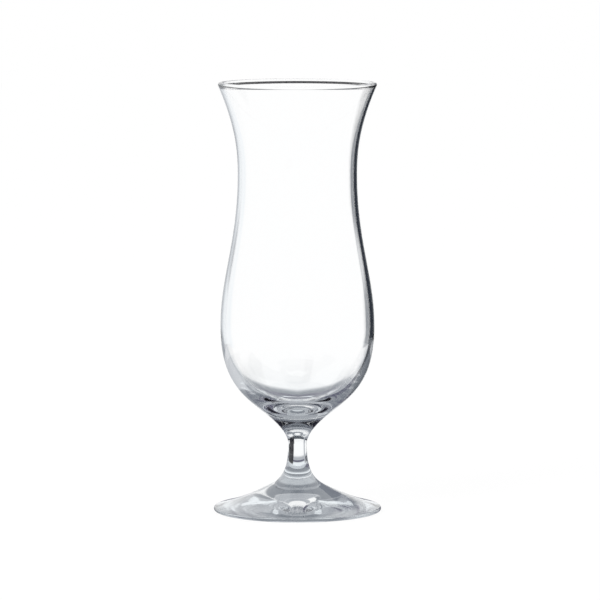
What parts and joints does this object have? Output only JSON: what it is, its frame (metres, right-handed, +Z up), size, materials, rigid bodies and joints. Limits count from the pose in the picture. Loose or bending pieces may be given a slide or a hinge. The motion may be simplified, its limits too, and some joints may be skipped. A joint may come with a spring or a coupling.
{
  "type": "hurricane glass",
  "caption": "Tall footed cocktail glass with a waisted clear bowl that flares to a rounded lip, on a short solid stem and a low conical foot, for holding a mixed drink.",
  "frame": {"origin": "centre of the foot's resting ring, on the table", "axes": "+Z up along the axis of the glass, from the foot to the lip; X and Y are level and alike because the glass is round"},
  "size_m": [0.0804, 0.0804, 0.206],
  "materials": {
    "glass": "clear, fire-polished, colourless"
  },
  "bodies": {
    "root": {"bowl": "glass", "stem": "glass", "foot": "glass"}
  },
  "joints": []
}
